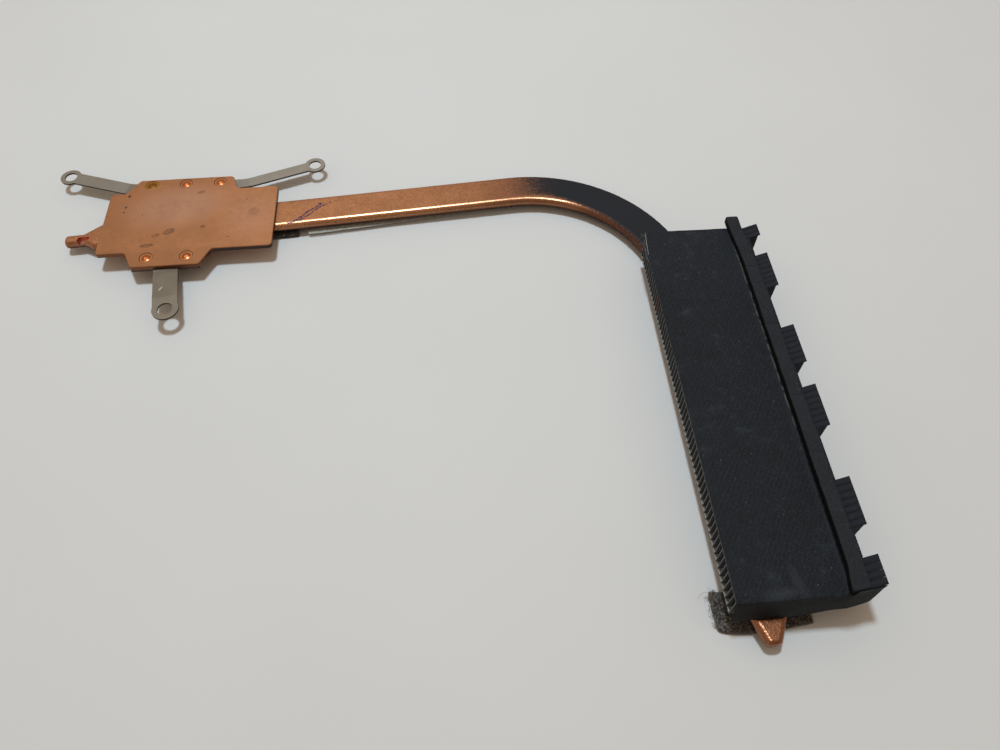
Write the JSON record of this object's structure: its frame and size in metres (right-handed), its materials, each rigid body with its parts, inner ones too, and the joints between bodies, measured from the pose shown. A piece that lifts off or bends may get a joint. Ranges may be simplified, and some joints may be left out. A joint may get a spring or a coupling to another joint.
{
  "type": "laptop heatsink",
  "caption": "Laptop heatsink: copper cold plate on a flat, bent heat pipe that ends under a flared stack of folded fins; spring arms with screw eyes press it on the chip",
  "frame": {"origin": "bottom centre of the part's box, on the plane that the part lies on with its contact face up", "axes": "+X from the cold plate along the pipe towards the fins, +Y from the lower spring's eye towards the upper spring, +Z out of the contact face"},
  "size_m": [0.151, 0.1184, 0.0099],
  "materials": {
    "plate_copper": "satin",
    "pipe_copper": "satin",
    "spring_steel": "satin",
    "fin_aluminium": "satin",
    "black_film": "matte",
    "black_foam": "matte",
    "grey_felt": "matte",
    "dark_felt": "matte",
    "clear_tape": "satin"
  },
  "bodies": {
    "root": {"cold_plate": "plate_copper", "upper_spring": "spring_steel", "lower_spring": "spring_steel", "heat_pipe": "pipe_copper", "cover_film": "black_film", "exhaust_foam": "black_foam", "felt_pad": "grey_felt", "pipe_pad": "dark_felt", "pipe_tape": "clear_tape", "fins_01_long": "fin_aluminium", "fins_02_short": "fin_aluminium", "fins_03_long": "fin_aluminium", "fins_04_short": "fin_aluminium", "fins_05_long": "fin_aluminium", "fins_06_short": "fin_aluminium", "fins_07_long": "fin_aluminium", "fins_08_short": "fin_aluminium", "fins_09_long": "fin_aluminium", "fins_10_short": "fin_aluminium", "fins_11_long": "fin_aluminium"}
  },
  "joints": []
}
